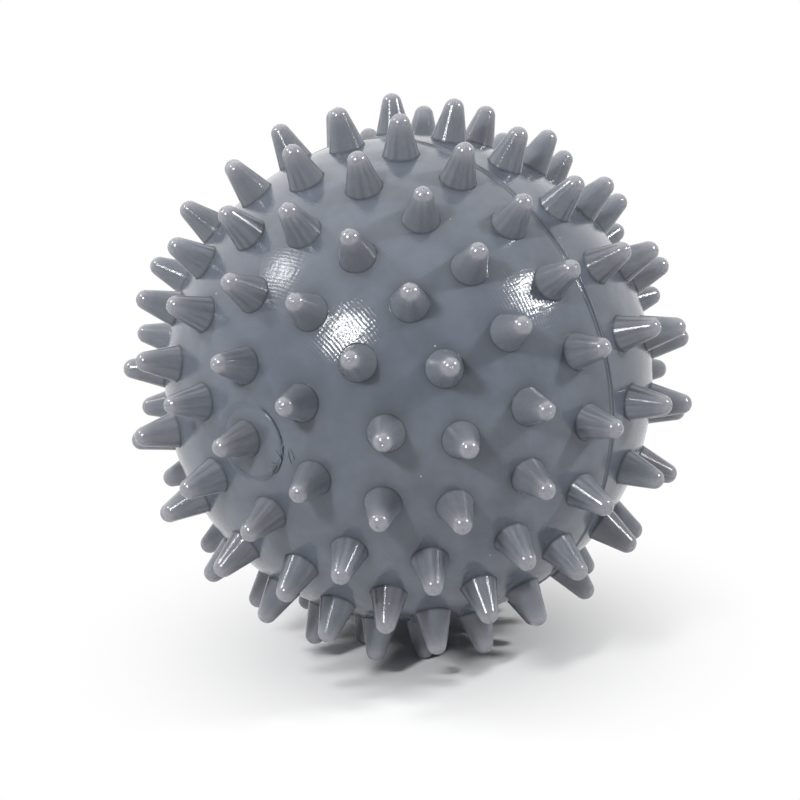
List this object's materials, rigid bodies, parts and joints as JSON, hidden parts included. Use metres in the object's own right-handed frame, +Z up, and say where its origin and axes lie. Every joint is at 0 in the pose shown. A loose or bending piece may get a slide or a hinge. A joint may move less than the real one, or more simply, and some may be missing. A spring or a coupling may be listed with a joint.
{
  "type": "spiky sensory ball",
  "caption": "Hollow soft vinyl ball covered in round-ended spikes, made of half shells welded at a raised seam, with a bonded pole plug and a pull-out air stopper.",
  "frame": {"origin": "centre of the ball", "axes": "+Z up as the ball rests on the tips of its lowest spikes; +Y along the pole axis, out through the air valve; the closed pole and the pictured side face -Y; the seam lies in the XZ plane"},
  "size_m": [0.089, 0.0881, 0.088],
  "materials": {
    "skin": "gloss",
    "bead": "gloss",
    "fitting": "gloss",
    "stopper": "satin"
  },
  "bodies": {
    "ball": {"front_shell": "skin", "rear_shell": "skin", "seam_bead": "bead", "pole_plug": "fitting", "valve_bush": "fitting"},
    "stopper": {"air_plug": "stopper"}
  },
  "joints": [
    {"name": "stopper_pull", "type": "slide", "parent": "ball", "child": "stopper", "axis": [0, 1, 0], "range_m": [0, 0.009]}
  ]
}
